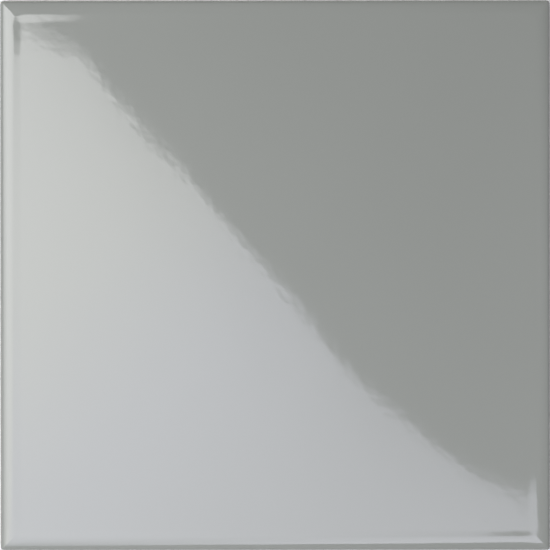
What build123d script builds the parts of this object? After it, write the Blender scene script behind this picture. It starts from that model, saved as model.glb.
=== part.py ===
from build123d import *
import os
from math import cos, radians

# Square glazed wall tile, lying on its back with its face up.
# Millimetres and degrees. The origin is the middle of the bedding plane under the tile,
# and +Z points out of the glazed face.

# The square
side = 148.0  # work size: a 150 module less a 2 mm joint
thickness = 6.5  # from the bedding plane to the glazed face
corner_radius = 1.1  # rounding of the four corners, seen from above

# Cushion edge: a wide shallow arc rolls the face over, and a tight one carries it into the wall
shoulder_radius = 9.0  # wide arc beside the flat of the face
shoulder_angle = 18.0  # slope where the wide arc hands over to the tight one
lip_radius = 1.4  # tight arc down to the side wall

# Back edge
back_bevel = 0.8  # keeps the edge of the back from chipping

# Keying: shallow pockets between crossing ribs, which the adhesive grips
key_depth = 0.5  # from the ribs to the floors of the pockets
key_pitch = 11.5  # from one rib to the next
rib_width = 3.0  # of a rib where it meets the bedding plane
key_draft = 30.0  # lean of the pocket walls, which lets the tile leave its press
key_frame = 5.0  # least width of the plain frame round the pockets

# Worked out from the sizes above
half_side = side / 2
lip_drop = lip_radius * cos(radians(shoulder_angle))
shoulder_drop = shoulder_radius * (1 - cos(radians(shoulder_angle)))
wall_top = thickness - shoulder_drop - lip_drop
pocket_size = key_pitch - rib_width
# As many pockets on each side of the middle, so that two ribs cross at the origin
pockets_from_middle = int((half_side - key_frame + rib_width / 2) // key_pitch)
pockets_across = 2 * pockets_from_middle


with BuildPart() as tile:
    # The blank, square in plan with its corners rounded
    with BuildSketch():
        RectangleRounded(side, side, corner_radius)
    extrude(amount=thickness)

    # The same section runs across the tile both ways, so the cushion edges meet in mitres
    for across in (Plane.XZ, Plane.YZ):
        with BuildSketch(across):
            with BuildLine():
                back = Line((0, 0), (half_side - back_bevel, 0))
                bevel = Line(back @ 1, (half_side, back_bevel))
                wall = Line(bevel @ 1, (half_side, wall_top))
                lip = JernArc(wall @ 1, wall % 1, lip_radius, 90 - shoulder_angle)
                shoulder = JernArc(lip @ 1, lip % 1, shoulder_radius, shoulder_angle)
                Line(shoulder @ 1, (0, thickness))
                mirror(about=Plane.YZ)
            make_face()
        extrude(amount=side, both=True, mode=Mode.INTERSECT)

    # Keying pockets, sunk into the back and narrowing with depth
    with BuildSketch():
        with GridLocations(key_pitch, key_pitch, pockets_across, pockets_across):
            Rectangle(pocket_size, pocket_size)
    extrude(amount=key_depth, taper=key_draft, mode=Mode.SUBTRACT)

tile.part.label = "tile"

os.makedirs("parts", exist_ok=True)
export_step(tile.part, "parts/tile.step")
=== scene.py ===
import math

import bmesh
import bpy
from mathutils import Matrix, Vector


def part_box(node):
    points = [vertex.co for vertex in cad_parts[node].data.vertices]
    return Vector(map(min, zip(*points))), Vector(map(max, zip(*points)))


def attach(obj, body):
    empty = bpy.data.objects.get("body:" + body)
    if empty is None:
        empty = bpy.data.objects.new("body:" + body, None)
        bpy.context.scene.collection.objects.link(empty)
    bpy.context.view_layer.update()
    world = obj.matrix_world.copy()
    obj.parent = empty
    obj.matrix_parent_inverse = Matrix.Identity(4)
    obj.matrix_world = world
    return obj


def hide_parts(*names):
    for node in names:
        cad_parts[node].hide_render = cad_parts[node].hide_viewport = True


# A square glazed wall tile, lying face up under one softbox, seen from straight above. Metres.

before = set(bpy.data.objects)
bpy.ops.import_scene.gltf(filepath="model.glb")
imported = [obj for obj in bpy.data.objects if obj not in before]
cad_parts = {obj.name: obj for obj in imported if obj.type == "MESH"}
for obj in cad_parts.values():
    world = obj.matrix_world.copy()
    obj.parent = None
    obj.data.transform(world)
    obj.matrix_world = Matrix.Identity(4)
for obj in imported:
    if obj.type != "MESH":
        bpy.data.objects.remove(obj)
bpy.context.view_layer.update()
tileLow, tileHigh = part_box("tile")
halfSide = (tileHigh.x - tileLow.x) / 2
faceHeight = tileHigh.z
hair = 0.00001  # places closer than this count as one
print("frame loaded, nodes", len(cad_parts), "tile side", round(halfSide * 2, 4))


# Small helpers for modelling by hand

def deselectAll():
    bpy.ops.object.select_all(action="DESELECT")


def pick(piece, mode, rule):
    # selects, in edit mode, the vertices, edges or faces that the rule says yes to
    bpy.ops.mesh.select_mode(type=mode)
    bpy.ops.mesh.select_all(action="DESELECT")
    mesh = bmesh.from_edit_mesh(piece.data)
    parts = {"VERT": mesh.verts, "EDGE": mesh.edges, "FACE": mesh.faces}[mode]
    for part in parts:
        if rule(part):
            part.select_set(True)
    bmesh.update_edit_mesh(piece.data)


def middle(edge):
    return (edge.verts[0].co + edge.verts[1].co) / 2


def smoothStep(part):
    # eases in and out, from 0 to 1
    part = min(max(part, 0), 1)
    return part * part * (3 - 2 * part)


def addGroup(piece, name, rule):
    # a vertex group of the vertices that the rule picks
    bpy.ops.object.vertex_group_add()
    piece.vertex_groups.active.name = name
    bpy.ops.object.mode_set(mode="EDIT")
    pick(piece, "VERT", rule)
    bpy.ops.object.vertex_group_assign()
    bpy.ops.object.mode_set(mode="OBJECT")


def applyDisplace(piece, name, layer, group):
    # moves a group of vertices up and down by a cloud texture, and applies it
    size, octaves, height = layer
    cloud = bpy.data.textures.new(name, "CLOUDS")
    cloud.noise_basis = "ORIGINAL_PERLIN"
    cloud.noise_scale = size
    cloud.noise_depth = octaves
    bpy.ops.object.modifier_add(type="DISPLACE")
    push = piece.modifiers[-1]
    push.name = name
    push.texture = cloud
    push.texture_coords = "LOCAL"
    push.direction = "Z"
    push.strength = height
    push.vertex_group = group
    bpy.ops.object.modifier_apply(modifier=push.name)


# The edge of the tile, as lines that run round it: each is (distance in from the wall, height)

edgeShape = {
    "cornerRadius": 0.0011,  # of the four corners, seen from above
    "cornerSteps": 8,
    "sideSteps": (11, 20),  # faces along a side, cut in two goes
    "backRim": 0.0006,  # flat of the back, beside its bevel
    "backBevel": 0.0008,
    "backSoftness": 0.0002,  # rubbed arrises of the back bevel
    "bareInset": 0.00012,  # the bare clay stands this far behind the glaze
    "glazeLine": 0.0025,  # where the glaze ends on the wall
    "glazeBead": 0.00035,  # height of the rounded end of the glaze
    "beadShape": ((1, 0), (0.35, 0.12), (0, 0.45), (0, 1)),  # shares of the inset and of the bead
    "lipRadius": 0.0014,  # tight arc from the wall
    "lipSteps": 8,
    "shoulderRadius": 0.009,  # wide arc up to the crest
    "shoulderAngle": math.radians(18),
    "shoulderSteps": 10,
    "mitreStart": 0.00032,  # from this far in, the edges meet in sharp mitres
    # the crest rounds the corners
    "crestCorner": 0.0048,  # it leaves the side this far from each corner
    "crestPush": 0.00065,  # and passes this far inside the corner
    "pushRange": (0.0016, 0.0034),  # the shoulder follows it more and more between these
    # the fall inside the crest
    "crestWidth": 0.0025,
    "crestSteps": 8,
    "crestRound": 0.0008,  # its lines have round corners again after this
    # its slope at the crest, and its width, on the -X, +X, -Y and +Y sides
    "crestFalls": ((0.028, 0.0022), (0.018, 0.0024), (0.0248, 0.0019), (0.0165, 0.0025)),
    "fallPower": 7,  # a higher one holds the slope for longer, and ends it more suddenly
    "fallCorner": 0.006,  # the depths of two sides blend over this, each way from the diagonal
}

shoulderDrop = edgeShape["shoulderRadius"] * (1 - math.cos(edgeShape["shoulderAngle"]))
wallTop = faceHeight - shoulderDrop - edgeShape["lipRadius"] * math.cos(edgeShape["shoulderAngle"])


def edgeLines():
    e = edgeShape
    # the back, its bevel and the bare wall
    bare, bevel, soft = e["bareInset"], e["backBevel"], e["backSoftness"]
    lines = [
        (bare + bevel + e["backRim"], 0),
        (bare + bevel + soft, 0),
        (bare + bevel - soft / 2, soft / 2),
        (bare + soft / 2, bevel - soft / 2),
        (bare, bevel + soft),
    ]
    for inShare, upShare in e["beadShape"]:
        lines.append((bare * inShare, e["glazeLine"] + e["glazeBead"] * upShare))
    # the lip, from the top of the wall, and the shoulder up to the crest
    lipTurn = math.pi / 2 - e["shoulderAngle"]
    for step in range(e["lipSteps"] + 1):
        turn = lipTurn * step / e["lipSteps"]
        lines.append((e["lipRadius"] * (1 - math.cos(turn)), wallTop + e["lipRadius"] * math.sin(turn)))
    lipEnd = lines[-1][0]
    for step in range(1, e["shoulderSteps"] + 1):
        slope = e["shoulderAngle"] * (1 - step / e["shoulderSteps"])
        run = e["shoulderRadius"] * (math.sin(e["shoulderAngle"]) - math.sin(slope))
        lines.append((lipEnd + run, faceHeight - e["shoulderRadius"] * (1 - math.cos(slope))))
    crest = lines[-1][0]
    # level lines inside the crest, which the fall is cut into later
    for step in range(1, e["crestSteps"] + 1):
        run = e["crestWidth"] * step / e["crestSteps"]
        lines.append((crest + run, faceHeight))
    return lines, crest


def fallShare(run, width):
    # how much of a fall is done, this far inside the crest
    power = edgeShape["fallPower"]
    part = min(max(run / width, 0), 1)
    return (power * part - part ** power) / (power - 1)


def shapeCorners(shell, rings, crest):
    # inX and inY are measured inwards from where the two sides of a line would meet
    e = edgeShape
    mesh = bmesh.from_edit_mesh(shell.data)
    mesh.verts.ensure_lookup_table()
    left, right, foot, top = e["crestFalls"]
    pushLow, pushHigh = e["pushRange"]
    fallScale = (e["fallPower"] - 1) / e["fallPower"]
    for inset, ring in rings:
        reach = halfSide - inset
        curve = e["cornerRadius"] * reach / halfSide
        sharp = min(inset / e["mitreStart"], 1) - min(max(inset - crest, 0) / e["crestRound"], 1)
        push = e["crestPush"] * smoothStep((inset - pushLow) / (pushHigh - pushLow))
        for index in ring:
            spot = mesh.verts[index].co
            inX, inY = reach - abs(spot.x), reach - abs(spot.y)
            # a round corner is drawn out into a sharp one
            if max(inX, inY) < curve + hair:
                lean = inY - inX
                inX += (max(-lean, 0) - inX) * sharp
                inY += (max(lean, 0) - inY) * sharp
            shift = push * smoothStep(1 - max(inX, inY) / e["crestCorner"])
            inX += shift
            inY += shift
            spot.x = math.copysign(reach - inX, spot.x)
            spot.y = math.copysign(reach - inY, spot.y)
            if inset < crest - hair:
                continue
            # the falls of two sides share the corner
            slopeX, widthX = left if spot.x < 0 else right
            slopeY, widthY = foot if spot.y < 0 else top
            blend = smoothStep((abs(spot.x) - abs(spot.y)) / e["fallCorner"] / 2 + 0.5)
            depth = (slopeX * widthX * blend + slopeY * widthY * (1 - blend)) * fallScale
            runX, runY = inset + inX - crest, inset + inY - crest
            spot.z -= depth * fallShare(runX, widthX) * fallShare(runY, widthY)
    bmesh.update_edit_mesh(shell.data)


def makeShell():
    e = edgeShape
    lines, crest = edgeLines()
    deselectAll()
    bpy.ops.mesh.primitive_plane_add(size=halfSide * 2)
    shell = bpy.context.object
    shell.name = "glazed_tile"
    bpy.ops.object.mode_set(mode="EDIT")
    # the outline: a square with rounded corners, its sides cut into short edges
    bpy.ops.mesh.bevel(offset=e["cornerRadius"], affect="VERTICES", segments=e["cornerSteps"])
    bpy.ops.mesh.delete(type="ONLY_FACE")
    for steps in e["sideSteps"]:
        pick(shell, "EDGE", lambda edge: edge.calc_length() > e["cornerRadius"])
        bpy.ops.mesh.subdivide(number_cuts=steps - 1)
    bpy.ops.mesh.select_all(action="SELECT")
    inset, height = lines[0]
    scale = 1 - inset / halfSide
    bpy.ops.transform.resize(value=(scale, scale, 1), center_override=(0, 0, 0))
    rings = []
    # up the bevel and the wall, over the lip and the shoulder, and in past the crest
    for nextInset, nextHeight in lines[1:]:
        rise = (0, 0, nextHeight - height)
        bpy.ops.mesh.extrude_edges_move(TRANSFORM_OT_translate={"value": rise})
        scale = (halfSide - nextInset) / (halfSide - inset)
        bpy.ops.transform.resize(value=(scale, scale, 1), center_override=(0, 0, nextHeight))
        inset, height = nextInset, nextHeight
        mesh = bmesh.from_edit_mesh(shell.data)
        mesh.verts.index_update()
        rings.append((inset, [v.index for v in mesh.verts if v.select]))
    shapeCorners(shell, rings, crest)
    # the face, filled from the middle of one corner
    mesh = bmesh.from_edit_mesh(shell.data)
    ring = [v for v in mesh.verts if v.select]
    mesh.select_history.clear()
    mesh.select_history.add(max(ring, key=lambda v: v.co.x + v.co.y))
    span = math.prod(e["sideSteps"]) + e["cornerSteps"]
    bpy.ops.mesh.fill_grid(span=span, use_interp_simple=True)
    bpy.ops.object.mode_set(mode="OBJECT")
    print("shell made,", len(shell.data.polygons), "faces")
    return shell


# The back: one keying pocket, copied into a waffle

keying = {
    "pitch": 0.0115,
    "ribWidth": 0.003,
    "depth": 0.0005,
    "draft": math.radians(30),
    "frame": 0.005,  # least width of the plain frame round the waffle
    "cornerRadius": 0.001,
    "cornerSteps": 3,
    "arris": 0.00012,  # rounding of the ribs and of the pocket floors
    "arrisSteps": 2,
}


def makeWaffle():
    k = keying
    pocket = k["pitch"] - k["ribWidth"]
    across = 2 * int((halfSide - k["frame"] + k["ribWidth"] / 2) // k["pitch"])

    def onMouth(edge):
        # on the mouth of the pocket, in the plane of the ribs
        reach = max(abs(c) for v in edge.verts for c in v.co[:2])
        return reach < pocket / 2 + hair and max(v.co.z for v in edge.verts) < hair

    deselectAll()
    bpy.ops.mesh.primitive_plane_add(size=pocket)
    waffle = bpy.context.object
    waffle.name = "waffle"
    bpy.ops.object.mode_set(mode="EDIT")
    # one pocket, sunk into the back and narrowing with depth
    bpy.ops.mesh.bevel(offset=k["cornerRadius"], affect="VERTICES", segments=k["cornerSteps"])
    bpy.ops.mesh.extrude_region_move(TRANSFORM_OT_translate={"value": (0, 0, k["depth"])})
    scale = 1 - 2 * k["depth"] * math.tan(k["draft"]) / pocket
    bpy.ops.transform.resize(value=(scale, scale, 1), center_override=(0, 0, k["depth"]))
    pick(waffle, "FACE", lambda face: face.calc_center_median().z < hair)
    bpy.ops.mesh.delete(type="ONLY_FACE")
    pick(waffle, "EDGE", lambda edge: middle(edge).z > k["depth"] - hair)
    bpy.ops.mesh.bevel(offset=k["arris"], segments=k["arrisSteps"])
    # the ribs round it, out to the square that it repeats in
    bpy.ops.mesh.select_all(action="DESELECT")
    bpy.ops.mesh.primitive_plane_add(size=k["pitch"])
    bpy.ops.mesh.delete(type="ONLY_FACE")
    pick(waffle, "EDGE", lambda edge: edge.is_wire)
    bpy.ops.mesh.subdivide(number_cuts=k["cornerSteps"])
    pick(waffle, "EDGE", lambda edge: edge.is_wire or edge.is_boundary)
    bpy.ops.mesh.fill(use_beauty=True)
    pick(waffle, "EDGE", lambda edge: not edge.is_boundary and onMouth(edge))
    bpy.ops.mesh.bevel(offset=k["arris"], segments=k["arrisSteps"])
    bpy.ops.mesh.select_all(action="SELECT")
    first = -k["pitch"] * (across - 1) / 2
    bpy.ops.transform.translate(value=(first, first, 0))
    bpy.ops.object.mode_set(mode="OBJECT")
    for stepX, stepY in ((k["pitch"], 0), (0, k["pitch"])):
        bpy.ops.object.modifier_add(type="ARRAY")
        row = waffle.modifiers[-1]
        row.count = across
        row.use_relative_offset = False
        row.use_constant_offset = True
        row.constant_offset_displace = (stepX, stepY, 0)
        row.use_merge_vertices = True
        row.merge_threshold = hair
        bpy.ops.object.modifier_apply(modifier=row.name)
    print("waffle made,", across, "pockets across,", len(waffle.data.polygons), "faces")
    return waffle


def makeTile():
    shell = makeShell()
    waffle = makeWaffle()
    deselectAll()
    waffle.select_set(True)
    shell.select_set(True)
    bpy.context.view_layer.objects.active = shell
    bpy.ops.object.join()
    # close the back between the waffle and the bevel
    bpy.ops.object.mode_set(mode="EDIT")
    pick(shell, "EDGE", lambda edge: edge.is_boundary)
    bpy.ops.mesh.fill(use_beauty=True)
    bpy.ops.mesh.select_all(action="SELECT")
    bpy.ops.mesh.normals_make_consistent(inside=False)
    bpy.ops.object.mode_set(mode="OBJECT")
    print("tile closed,", len(shell.data.polygons), "faces")
    return shell


# The glaze isn't quite flat. Each layer is (size of its bumps, octaves, height)

glazeRelief = {
    "endRun": (0.006, 2, 0.0009),  # the lower edge of the glaze, which wanders
    "wave": (0.013, 0, 0.00003),
    "ripple": (0.0035, 1, 0.000006),
    "crispAngle": math.radians(32),  # arrises sharper than this aren't shaded smooth
}


def addRelief(tile):
    r = glazeRelief
    beadLow = edgeShape["glazeLine"] - hair
    beadHigh = edgeShape["glazeLine"] + edgeShape["glazeBead"] + hair
    _, crest = edgeLines()
    mitreEnd = halfSide - crest

    def onMitre(edge):
        ends = [v.co for v in edge.verts]
        diagonal = all(abs(abs(end.x) - abs(end.y)) < hair and end.z > wallTop for end in ends)
        return diagonal and abs(middle(edge).x) > mitreEnd

    addGroup(tile, "glazeEnd", lambda v: beadLow < v.co.z < beadHigh)
    addGroup(tile, "glazeTop", lambda v: v.co.z > wallTop)
    applyDisplace(tile, "glazeEndRun", r["endRun"], "glazeEnd")
    applyDisplace(tile, "glazeWave", r["wave"], "glazeTop")
    applyDisplace(tile, "glazeRipple", r["ripple"], "glazeTop")
    # the mitres stay crisp
    bpy.ops.object.mode_set(mode="EDIT")
    pick(tile, "EDGE", onMitre)
    bpy.ops.mesh.mark_sharp()
    bpy.ops.object.mode_set(mode="OBJECT")
    bpy.ops.object.shade_smooth_by_angle(angle=r["crispAngle"])
    print("relief added")


# Node helpers

def addNode(tree, kind, place, settings=None, sockets=None):
    node = tree.nodes.new(kind)
    node.location = place
    for name, value in (settings or {}).items():
        setattr(node, name, value)
    for name, value in (sockets or {}).items():
        node.inputs[name].default_value = value
    return node


def newMaterial(name):
    material = bpy.data.materials.new(name)
    material.use_nodes = True
    return material, material.node_tree.nodes["Principled BSDF"]


def newLampCloth(name):
    # glows where its mask is 1, and is clear where it is 0
    material = bpy.data.materials.new(name)
    material.use_nodes = True
    tree = material.node_tree
    tree.nodes.clear()
    glow = addNode(tree, "ShaderNodeEmission", (0, 0))
    clear = addNode(tree, "ShaderNodeBsdfTransparent", (0, 150))
    mix = addNode(tree, "ShaderNodeMixShader", (200, 100))
    end = addNode(tree, "ShaderNodeOutputMaterial", (400, 100))
    tree.links.new(clear.outputs[0], mix.inputs[1])
    tree.links.new(glow.outputs[0], mix.inputs[2])
    tree.links.new(mix.outputs[0], end.inputs["Surface"])
    return material, glow, mix.inputs[0]


def setInput(tree, socket, value):
    # value is another socket or a plain value
    if isinstance(value, bpy.types.NodeSocket):
        tree.links.new(value, socket)
    else:
        socket.default_value = value


def splitPlace(tree, place):
    # object coordinates, whole and as X, Y and Z
    x, y = place
    spot = addNode(tree, "ShaderNodeTexCoord", place).outputs["Object"]
    parts = addNode(tree, "ShaderNodeSeparateXYZ", (x + 250, y))
    tree.links.new(spot, parts.inputs[0])
    return spot, parts.outputs


def addMix(tree, place, factor, first, second):
    mix = addNode(tree, "ShaderNodeMix", place, {"data_type": "RGBA"})
    for index, value in ((0, factor), (6, first), (7, second)):  # the sockets of a colour mix
        setInput(tree, mix.inputs[index], value)
    return mix.outputs[2]


def addMath(tree, place, operation, *values):
    node = addNode(tree, "ShaderNodeMath", place, {"operation": operation})
    for socket, value in zip(node.inputs, values):
        setInput(tree, socket, value)
    return node.outputs[0]


def addRange(tree, place, value, low, high, outLow=0.0, outHigh=1.0):
    # a smooth step from low to high
    node = addNode(tree, "ShaderNodeMapRange", place, {"interpolation_type": "SMOOTHSTEP"}, {
        "From Min": low, "From Max": high, "To Min": outLow, "To Max": outHigh})
    tree.links.new(value, node.inputs["Value"])
    return node.outputs["Result"]


def addNoise(tree, place, spot, scale, detail=2.0, roughness=0.5):
    node = addNode(tree, "ShaderNodeTexNoise", place, None, {
        "Scale": scale, "Detail": detail, "Roughness": roughness})
    tree.links.new(spot, node.inputs["Vector"])
    return node.outputs["Fac"]


def addCells(tree, place, spot, scale, dimensions):
    # the distance to the nearest of many scattered points
    node = addNode(tree, "ShaderNodeTexVoronoi", place, {"voronoi_dimensions": dimensions}, {
        "Scale": scale})
    tree.links.new(spot, node.inputs["Vector"])
    return node.outputs["Distance"]


def addBump(tree, place, height, distance, normal=None):
    node = addNode(tree, "ShaderNodeBump", place, None, {"Distance": distance})
    tree.links.new(height, node.inputs["Height"])
    if normal is not None:
        tree.links.new(normal, node.inputs["Normal"])
    return node.outputs["Normal"]


glazeFinish = {
    "colour": (0.2787, 0.2912, 0.2677, 1),
    "cloudColour": (0.2862, 0.2987, 0.2752, 1),  # slow drift of the tone
    "cloudScale": 28,
    "arrisShadeColour": (0.2595, 0.2645, 0.241, 1),  # painted shade, darker over the arris
    "arrisShadeStart": 0.0007,  # in from the wall
    "ior": 1.66,
    "hazeScale": 84,
    "hazeRange": (0.3, 0.7),
    "roughness": (0.035, 0.045),
    "peelScale": 500,
    "peelDetail": 1.0,
    "peelRoughness": 0.42,
    "peelHeight": 0.0000055,
    "pitScale": 50,
    "pitRadius": 0.00022,
    "pitDepth": 0.000012,
}


def makeGlaze():
    g = glazeFinish
    material, shader = newMaterial("grey_glaze")
    tree = material.node_tree
    shader.inputs["IOR"].default_value = g["ior"]
    spot, parts = splitPlace(tree, (-1500, 0))
    # colour: a slow drift, and painted shade, darker over the arris
    drift = addNoise(tree, (-1250, 300), spot, g["cloudScale"])
    tone = addMix(tree, (-1000, 300), drift, g["colour"], g["cloudColour"])
    reachX = addMath(tree, (-1050, 60), "ABSOLUTE", parts["X"])
    reachY = addMath(tree, (-1050, -60), "ABSOLUTE", parts["Y"])
    reach = addMath(tree, (-850, 0), "MAXIMUM", reachX, reachY)
    # painted shade: the glaze colour darkens over the outer arris, towards the wall
    arrisShade = addRange(tree, (-650, 0), reach, halfSide - g["arrisShadeStart"], halfSide)
    colour = addMix(tree, (-400, 300), arrisShade, tone, g["arrisShadeColour"])
    tree.links.new(colour, shader.inputs["Base Color"])
    # gloss: a very slight haze that comes and goes
    haze = addNoise(tree, (-1000, -250), spot, g["hazeScale"])
    gloss = addRange(tree, (-650, -250), haze, *g["hazeRange"], *g["roughness"])
    tree.links.new(gloss, shader.inputs["Roughness"])
    # fine peel of the fired glaze, and a few pinholes
    peel = addNoise(tree, (-1000, -500), spot, g["peelScale"], g["peelDetail"], g["peelRoughness"])
    skin = addBump(tree, (-650, -500), peel, g["peelHeight"])
    pits = addCells(tree, (-1250, -750), spot, g["pitScale"], "2D")
    hollow = addRange(tree, (-1000, -750), pits, 0, g["pitRadius"] * g["pitScale"])
    tree.links.new(addBump(tree, (-400, -500), hollow, g["pitDepth"], skin), shader.inputs["Normal"])
    print("glaze mixed")
    return material


clayFinish = {
    "colour": (0.62, 0.56, 0.475, 1),
    "paleColour": (0.7, 0.65, 0.57, 1),
    "mottleScale": 70,
    "mottleDetail": 4.0,
    "mottleRange": (0.35, 0.65),
    "washColour": (0.78, 0.76, 0.72, 1),  # kiln wash left on the ribs
    "washHeight": 0.00012,
    "patchScale": 175,  # the wash is patchy
    "patchDetail": 3.0,
    "patchRange": (0.4, 0.6),
    # painted shade in the pores: a darker copy of the clay colour
    "poreShadeColour": (0.48, 0.425, 0.355, 1),
    "poreScale": 2200,
    "poreRange": (0.04, 0.15),
    "grainScale": 1500,
    "grainDetail": 3.0,
    "grainRange": (0.3, 0.7),
    "grainHeight": 0.00003,
    "roughness": (0.82, 0.95),
}


def makeClay():
    c = clayFinish
    material, shader = newMaterial("fired_clay")
    tree = material.node_tree
    spot, parts = splitPlace(tree, (-1500, 0))
    mottle = addNoise(tree, (-1250, 300), spot, c["mottleScale"], c["mottleDetail"])
    mottle = addRange(tree, (-1100, 150), mottle, *c["mottleRange"])
    body = addMix(tree, (-1000, 300), mottle, c["colour"], c["paleColour"])
    # wash rubbed onto the ribs
    low = addRange(tree, (-1050, 0), parts["Z"], 0, c["washHeight"], 1.0, 0.0)
    patches = addNoise(tree, (-1250, -150), spot, c["patchScale"], c["patchDetail"])
    patches = addRange(tree, (-1050, -150), patches, *c["patchRange"])
    wash = addMath(tree, (-850, 0), "MULTIPLY", low, patches)
    washed = addMix(tree, (-700, 300), wash, body, c["washColour"])
    # pores, painted darker as shade in their hollows, and the grain between them
    pore = addCells(tree, (-1250, -400), spot, c["poreScale"], "3D")
    pore = addRange(tree, (-1000, -400), pore, *c["poreRange"], 1.0, 0.0)
    # painted shade: the pores are darker
    colour = addMix(tree, (-400, 300), pore, washed, c["poreShadeColour"])
    tree.links.new(colour, shader.inputs["Base Color"])
    grain = addNoise(tree, (-1000, -600), spot, c["grainScale"], c["grainDetail"])
    rough = addRange(tree, (-700, -250), grain, *c["grainRange"], *c["roughness"])
    tree.links.new(rough, shader.inputs["Roughness"])
    height = addMath(tree, (-700, -600), "SUBTRACT", grain, pore)
    tree.links.new(addBump(tree, (-400, -600), height, c["grainHeight"]), shader.inputs["Normal"])
    print("clay mixed")
    return material


def paintTile(tile):
    # bare clay on the back and the lower wall, glaze on the rest
    tile.data.materials.append(makeGlaze())
    tile.data.materials.append(makeClay())
    deselectAll()
    tile.select_set(True)
    bpy.context.view_layer.objects.active = tile
    bpy.ops.object.mode_set(mode="EDIT")
    pick(tile, "FACE", lambda face: face.calc_center_median().z < edgeShape["glazeLine"])
    tile.active_material_index = 1
    bpy.ops.object.material_slot_assign()
    bpy.ops.object.mode_set(mode="OBJECT")


tile = makeTile()
paintTile(tile)
addRelief(tile)
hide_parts("tile")
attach(tile, "root")


# Floor

floorLook = {"size": 12.0, "drop": 0.00005, "colour": (0.88, 0.88, 0.88, 1), "roughness": 0.8}


def makeFloor():
    f = floorLook
    deselectAll()
    bpy.ops.mesh.primitive_plane_add(size=f["size"], location=(0, 0, tileLow.z - f["drop"]))
    floor = bpy.context.object
    floor.name = "floor"
    material, shader = newMaterial("pale_floor")
    shader.inputs["Base Color"].default_value = f["colour"]
    shader.inputs["Roughness"].default_value = f["roughness"]
    floor.data.materials.append(material)
    print("floor laid")


# Softbox beside the camera. Its own x runs away from the camera, and y along its near edge.

softbox = {
    "height": 0.55,  # above the face
    "turn": math.radians(220.8),  # of its x axis, seen from above
    "corners": ((-0.12, -0.45), (1.2, -0.8), (1.2, 0.073), (0.2, 0.353), (-0.12, 0.36)),
    "strength": 5.08,
    "nearEdge": -0.0004,
    "edgeBlur": 0.0018,
    "border": (0.0042, 0.45),  # dimmer along the near edge: its width, and its share of the light
    "flareStart": 0.065,  # past here along y the near edge swings out and blurs
    "flare": 1.75,
    "flareMost": 0.055,  # it swings no further than this
    "flareBlur": 0.7,
    "cornerPlace": (0.0079, -0.1818),  # a point of the cut across the near corner
    "cornerTurn": math.radians(25),
    "cornerBlur": 0.007,
    "cornerBorder": 0.0075,
    "spill": 0.06,  # faint light outside the near edge
    "spillReach": 0.1,
    "edgeDim": 0.3,  # dimmer by this much at the near edge
    "edgeDimReach": 0.05,
    "farFade": (0.3, 0.78, 0.15),  # from, to, and what is left of the light
    "farLean": 0.35,  # it fades sooner towards both ends
    "endFade": (-0.28, 0.3, 0.53),
    "endGlow": (0.08, 0.3, 1.33),  # brighter again at its near end
    "endLean": 0.3,  # less so further from the camera
    "brightColour": (1.0, 1.0, 1.0, 1),
    "dullColour": (0.97, 0.968, 1.085, 1),
    "colourChange": (-0.1, 0.03),
}


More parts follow.
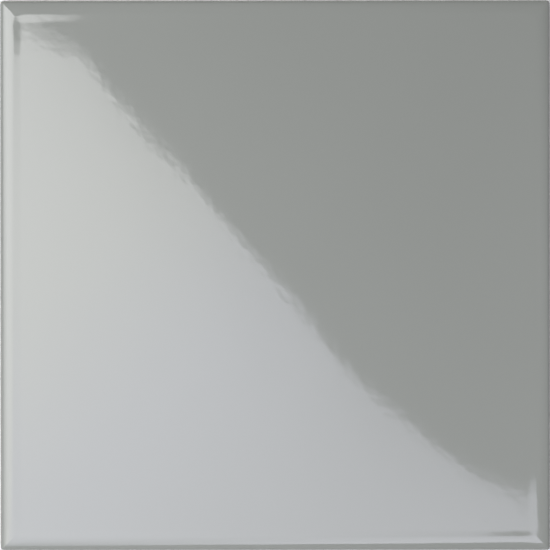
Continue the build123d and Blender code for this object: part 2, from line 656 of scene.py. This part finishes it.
def makeSoftbox():
    s = softbox
    deselectAll()
    bpy.ops.mesh.primitive_circle_add(
        vertices=len(s["corners"]), fill_type="NGON",
        location=(0, 0, faceHeight + s["height"]), rotation=(0, 0, s["turn"]))
    box = bpy.context.object
    box.name = "softbox"
    for vertex, (x, y) in zip(box.data.vertices, s["corners"]):
        vertex.co = (x, y, 0)
    material, glow, maskInput = newLampCloth("softbox_cloth")
    tree = material.node_tree
    _, parts = splitPlace(tree, (-1700, 0))
    away, along = parts["X"], parts["Y"]
    borderWidth, borderShare = s["border"]
    # how far inside the near edge, which swings out at one end
    past = addMath(tree, (-1400, 200), "SUBTRACT", along, s["flareStart"])
    past = addMath(tree, (-1300, 200), "MAXIMUM", past, 0.0)
    swing = addMath(tree, (-1200, 200), "MULTIPLY", past, past)
    swing = addMath(tree, (-1100, 200), "MULTIPLY", swing, s["flare"])
    swing = addMath(tree, (-1050, 250), "MINIMUM", swing, s["flareMost"])
    inside = addMath(tree, (-1000, 200), "ADD", away, swing)
    inside = addMath(tree, (-900, 200), "SUBTRACT", inside, s["nearEdge"])
    blur = addMath(tree, (-1000, 350), "MULTIPLY", swing, s["flareBlur"])
    blur = addMath(tree, (-900, 350), "ADD", blur, s["edgeBlur"])
    # first the border comes in, and then the rest, each over the width of the blur
    border = addMath(tree, (-800, 250), "DIVIDE", inside, blur)
    border = addRange(tree, (-700, 200), border, -0.5, 0.5, 0.0, borderShare)
    rest = addMath(tree, (-900, 300), "SUBTRACT", inside, borderWidth)
    rest = addMath(tree, (-800, 350), "DIVIDE", rest, blur)
    rest = addRange(tree, (-700, 300), rest, -0.5, 0.5, 0.0, 1 - borderShare)
    edge = addMath(tree, (-550, 250), "ADD", border, rest)
    # the same for the cut across the corner
    cutX = addMath(tree, (-1200, 0), "SUBTRACT", away, s["cornerPlace"][0])
    cutX = addMath(tree, (-1100, 0), "MULTIPLY", cutX, math.cos(s["cornerTurn"]))
    cutY = addMath(tree, (-1200, -100), "SUBTRACT", along, s["cornerPlace"][1])
    cutY = addMath(tree, (-1100, -100), "MULTIPLY", cutY, math.sin(s["cornerTurn"]))
    cut = addMath(tree, (-900, 0), "ADD", cutX, cutY)
    low, high = (s["cornerBorder"] * side - s["cornerBlur"] / 2 for side in (-0.5, 0.5))
    cutBorder = addRange(tree, (-700, 0), cut, low, low + s["cornerBlur"], 0.0, borderShare)
    cutRest = addRange(tree, (-700, -80), cut, high, high + s["cornerBlur"], 0.0, 1 - borderShare)
    corner = addMath(tree, (-550, 0), "ADD", cutBorder, cutRest)
    spill = addRange(tree, (-700, 400), inside, -s["spillReach"], 0.0, 0.0, s["spill"])
    mask = addMath(tree, (-500, 100), "MINIMUM", edge, corner)
    mask = addMath(tree, (-400, 200), "MAXIMUM", mask, spill)
    tree.links.new(mask, maskInput)
    # the cloth is dimmer towards its near edge, its far side and one end
    dim = addMath(tree, (-850, -200), "MAXIMUM", inside, 0.0)
    dim = addMath(tree, (-800, -200), "DIVIDE", dim, -s["edgeDimReach"])
    dim = addMath(tree, (-700, -200), "EXPONENT", dim)
    dim = addMath(tree, (-600, -200), "MULTIPLY", dim, s["edgeDim"])
    light = addMath(tree, (-500, -200), "SUBTRACT", 1.0, dim)
    fadeStart, fadeEnd, fadeShare = s["farFade"]
    far = addMath(tree, (-1000, -350), "ABSOLUTE", along)
    far = addMath(tree, (-900, -350), "MULTIPLY", far, s["farLean"])
    far = addMath(tree, (-800, -350), "ADD", away, far)
    far = addRange(tree, (-700, -350), far, fadeStart, fadeEnd, 1.0, fadeShare)
    light = addMath(tree, (-400, -300), "MULTIPLY", light, far)
    fadeStart, fadeEnd, fadeShare = s["endFade"]
    lengthwise = addRange(tree, (-700, -450), along, fadeStart, fadeEnd,
                          s["strength"], s["strength"] * fadeShare)
    light = addMath(tree, (-300, -350), "MULTIPLY", light, lengthwise)
    glowStart, glowEnd, glowShare = s["endGlow"]
    nearEnd = addMath(tree, (-900, -520), "MULTIPLY", away, s["endLean"])
    nearEnd = addMath(tree, (-800, -520), "SUBTRACT", along, nearEnd)
    nearEnd = addRange(tree, (-700, -520), nearEnd, glowStart, glowEnd, 1.0, glowShare)
    light = addMath(tree, (-200, -400), "MULTIPLY", light, nearEnd)
    tree.links.new(light, glow.inputs["Strength"])
    dull = addRange(tree, (-700, -600), along, *s["colourChange"])
    colour = addMix(tree, (-300, -500), dull, s["brightColour"], s["dullColour"])
    tree.links.new(colour, glow.inputs["Color"])
    box.data.materials.append(material)
    box.visible_camera = False
    print("softbox hung")


# Two pale cards, above the softbox, which give a little of the light back

paleCards = {
    "side_card": {
        "height": 0.58,  # above the face
        "low": (0.06, -0.5),
        "high": (0.8, 0.3),
        "inX": (0.09, 0.21),  # it comes in softly between these
        "inY": (0.2, 0.0),
        "strength": 0.54,
    },
    "head_card": {
        "height": 0.6,
        "low": (-0.5, 0.12),
        "high": (0.4, 0.9),
        "inX": (0.2, -0.1),
        "inY": (0.17, 0.3),
        "strength": 0.42,
    },
}


def makePaleCard(name):
    c = paleCards[name]
    (lowX, lowY), (highX, highY) = c["low"], c["high"]
    deselectAll()
    bpy.ops.mesh.primitive_plane_add(size=1, location=(0, 0, faceHeight + c["height"]))
    card = bpy.context.object
    card.name = name
    corners = ((lowX, lowY), (highX, lowY), (lowX, highY), (highX, highY))
    for vertex, (x, y) in zip(card.data.vertices, corners):
        vertex.co = (x, y, 0)
    material, glow, maskInput = newLampCloth(name)
    tree = material.node_tree
    glow.inputs["Strength"].default_value = c["strength"]
    _, parts = splitPlace(tree, (-800, 0))
    inX = addRange(tree, (-400, 100), parts["X"], *c["inX"])
    inY = addRange(tree, (-400, 250), parts["Y"], *c["inY"])
    tree.links.new(addMath(tree, (-200, 250), "MULTIPLY", inX, inY), maskInput)
    card.data.materials.append(material)
    card.visible_camera = False
    print(name, "hung")


# World and camera

studio = {
    "fill": 0.22,
    "fillColour": (1.0, 1.0, 1.0, 1),
    "cameraDistance": 0.5,  # to the widest line of the tile, at the top of its wall
    "imageWidth": 550,
    "tileWidth": 549.55,  # pixels across the tile
    "aim": (-0.000025, 0.0001),  # the tile sits a shade right of the image's middle, and below it
    "roll": math.radians(-0.05),
    "sensor": 36,  # mm
    "clipStart": 0.01,
}


def makeStudio():
    s = studio
    world = bpy.data.worlds.new("studio")
    world.use_nodes = True
    back = world.node_tree.nodes["Background"]
    back.inputs["Color"].default_value = s["fillColour"]
    back.inputs["Strength"].default_value = s["fill"]
    bpy.context.scene.world = world
    deselectAll()
    eye = (*s["aim"], wallTop + s["cameraDistance"])
    bpy.ops.object.camera_add(location=eye, rotation=(0, 0, s["roll"]))
    camera = bpy.context.object
    imageSpan = halfSide * 2 * s["imageWidth"] / s["tileWidth"]
    camera.data.sensor_width = s["sensor"]
    camera.data.lens = s["sensor"] * s["cameraDistance"] / imageSpan
    camera.data.clip_start = s["clipStart"]
    bpy.context.scene.camera = camera
    bpy.context.scene.view_settings.view_transform = "Standard"
    print("camera set, lens", round(camera.data.lens, 1))


makeFloor()
makeSoftbox()
for cardName in paleCards:
    makePaleCard(cardName)
makeStudio()
